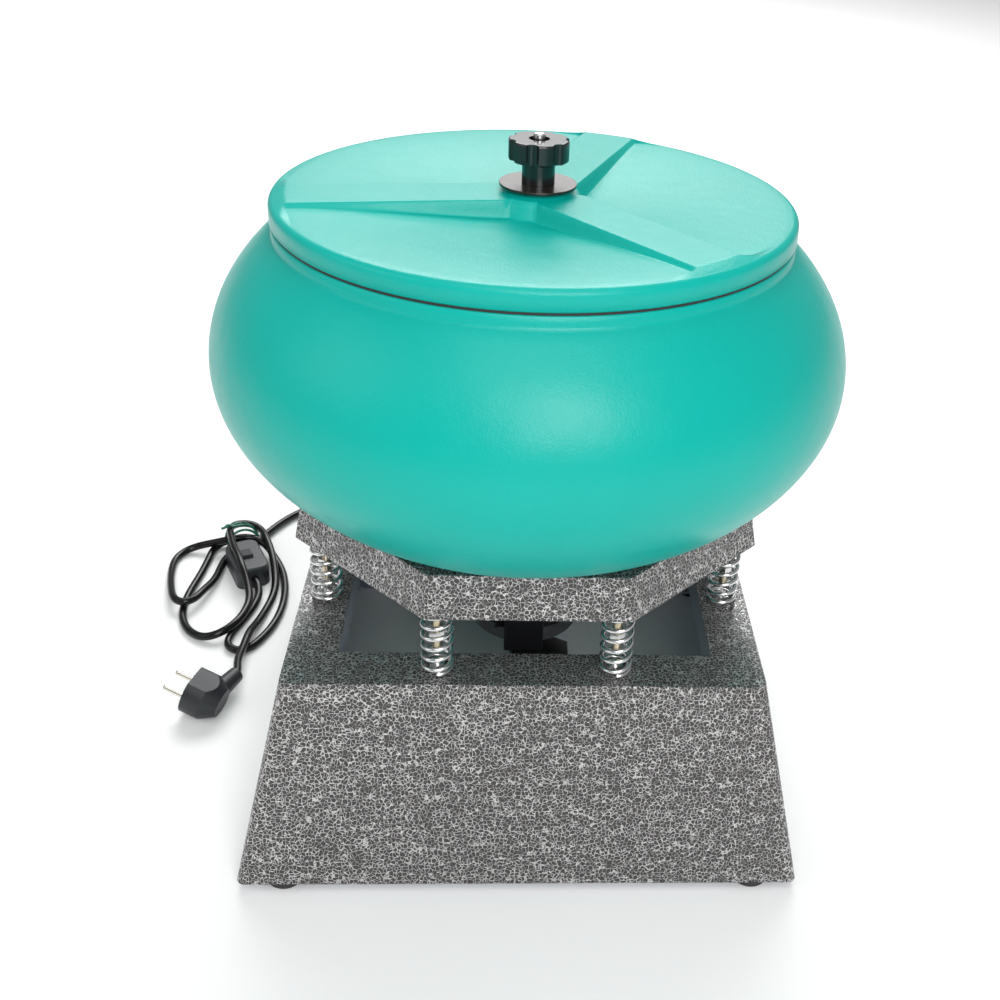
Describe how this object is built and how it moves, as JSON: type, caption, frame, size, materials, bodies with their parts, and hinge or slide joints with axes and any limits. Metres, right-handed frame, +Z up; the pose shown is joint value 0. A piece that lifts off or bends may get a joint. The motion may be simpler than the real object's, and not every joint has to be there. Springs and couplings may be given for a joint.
{
  "type": "vibratory rock tumbler",
  "caption": "Vibratory rock tumbler: a round lidded bowl on a sprung octagonal platform with an eccentric-weight motor, over a square steel base, with a tied mains cord.",
  "frame": {"origin": "centre of the base on the surface it stands on", "axes": "+Z up, -Y is the front of the base, +X to the right seen from the front"},
  "size_m": [0.5605, 0.5498, 0.4837],
  "materials": {
    "hammertone_steel": "hammertone grey stoving enamel",
    "teal_plastic": "satin moulded polypropylene",
    "black_plastic": "glossy moulded plastic",
    "switch_plastic": "satin moulded plastic",
    "cord_pvc": "glossy PVC sheath",
    "plug_pvc": "fine textured PVC",
    "rubber": "moulded rubber",
    "zinc_steel": "bright zinc plated",
    "spring_steel": "bright plated spring wire",
    "blackened_steel": "blackened, lightly oiled",
    "motor_enamel": "black satin enamel",
    "cast_aluminium": "as cast",
    "core_steel": "stacked laminations",
    "copper_winding": "varnished copper wire",
    "bearing_steel": "ground",
    "weight_iron": "black painted iron",
    "capacitor_case": "moulded case",
    "tie_plastic": "translucent green covering on wire",
    "pin_nickel": "nickel plated brass"
  },
  "bodies": {
    "base": {"base_housing": "hammertone_steel", "base_feet": "rubber", "foot_screws": "zinc_steel", "foot_nuts": "zinc_steel", "lower_spring_bolts": "zinc_steel", "lower_spring_nuts": "zinc_steel", "springs_front": "spring_steel", "springs_right": "spring_steel", "springs_back": "spring_steel", "springs_left": "spring_steel", "gland_body": "switch_plastic", "gland_cap": "switch_plastic", "gland_locknut": "switch_plastic", "internal_lead": "cord_pvc", "cord_run_in": "cord_pvc", "cord_hank": "cord_pvc", "cord_tail": "cord_pvc", "twist_tie": "tie_plastic", "switch_body": "switch_plastic", "plug_body": "plug_pvc", "plug_pins": "pin_nickel", "plug_earth_contacts": "pin_nickel"},
    "platform": {"platform": "hammertone_steel", "upper_spring_studs": "zinc_steel", "upper_spring_nuts": "zinc_steel", "centre_stud": "zinc_steel", "stud_nuts": "zinc_steel", "bowl": "teal_plastic", "bowl_washer": "zinc_steel", "bowl_nut": "zinc_steel", "motor_spacers": "zinc_steel", "motor_bolts": "zinc_steel", "motor_nuts": "zinc_steel", "upper_end_bell": "cast_aluminium", "motor_housing": "motor_enamel", "lower_end_bell": "cast_aluminium", "stator_core": "core_steel", "motor_windings": "copper_winding", "motor_bearings": "bearing_steel", "capacitor": "capacitor_case", "capacitor_bracket": "motor_enamel", "capacitor_screw": "zinc_steel", "terminal_box": "motor_enamel"},
    "rotor": {"rotor_core": "core_steel", "motor_shaft": "bearing_steel", "lower_weight": "weight_iron", "upper_weight": "weight_iron", "weight_set_screws": "blackened_steel"},
    "lid": {"lid": "teal_plastic", "lid_gasket": "rubber"},
    "clamp_disc": {"clamp_disc": "blackened_steel"},
    "knob": {"knob": "black_plastic", "knob_insert": "zinc_steel"},
    "switch_rocker": {"switch_rocker": "black_plastic"}
  },
  "joints": [
    {"name": "platform_bounce", "type": "slide", "parent": "base", "child": "platform", "axis": [0, 0, 1], "range_m": [-0.006, 0.004], "stiffness_N_per_m": 14000, "springref_m": 0.00557, "deforming": ["springs_front", "springs_right", "springs_back", "springs_left"]},
    {"name": "motor_spin", "type": "hinge", "parent": "platform", "child": "rotor", "pos_m": [0, 0, 0.15], "axis": [0, 0, 1], "continuous": true},
    {"name": "lid_lift", "type": "slide", "parent": "platform", "child": "lid", "axis": [0, 0, 1], "range_m": [0, 0.12]},
    {"name": "knob_rise", "type": "slide", "parent": "lid", "child": "clamp_disc", "axis": [0, 0, 1], "range_m": [0, 0.035]},
    {"name": "knob_turn", "type": "hinge", "parent": "clamp_disc", "child": "knob", "pos_m": [0, 0, 0.46], "axis": [0, 0, 1], "range_deg": [0, 10080]},
    {"name": "switch_rock", "type": "hinge", "parent": "base", "child": "switch_rocker", "pos_m": [-0.2615, 0.197, 0.0165], "axis": [-0.9063, -0.4226, 0], "range_deg": [-16, 0]}
  ],
  "couplings": [
    {"joint": "knob_rise", "follows": "knob_turn", "m_per_rad": 0.00019894}
  ]
}
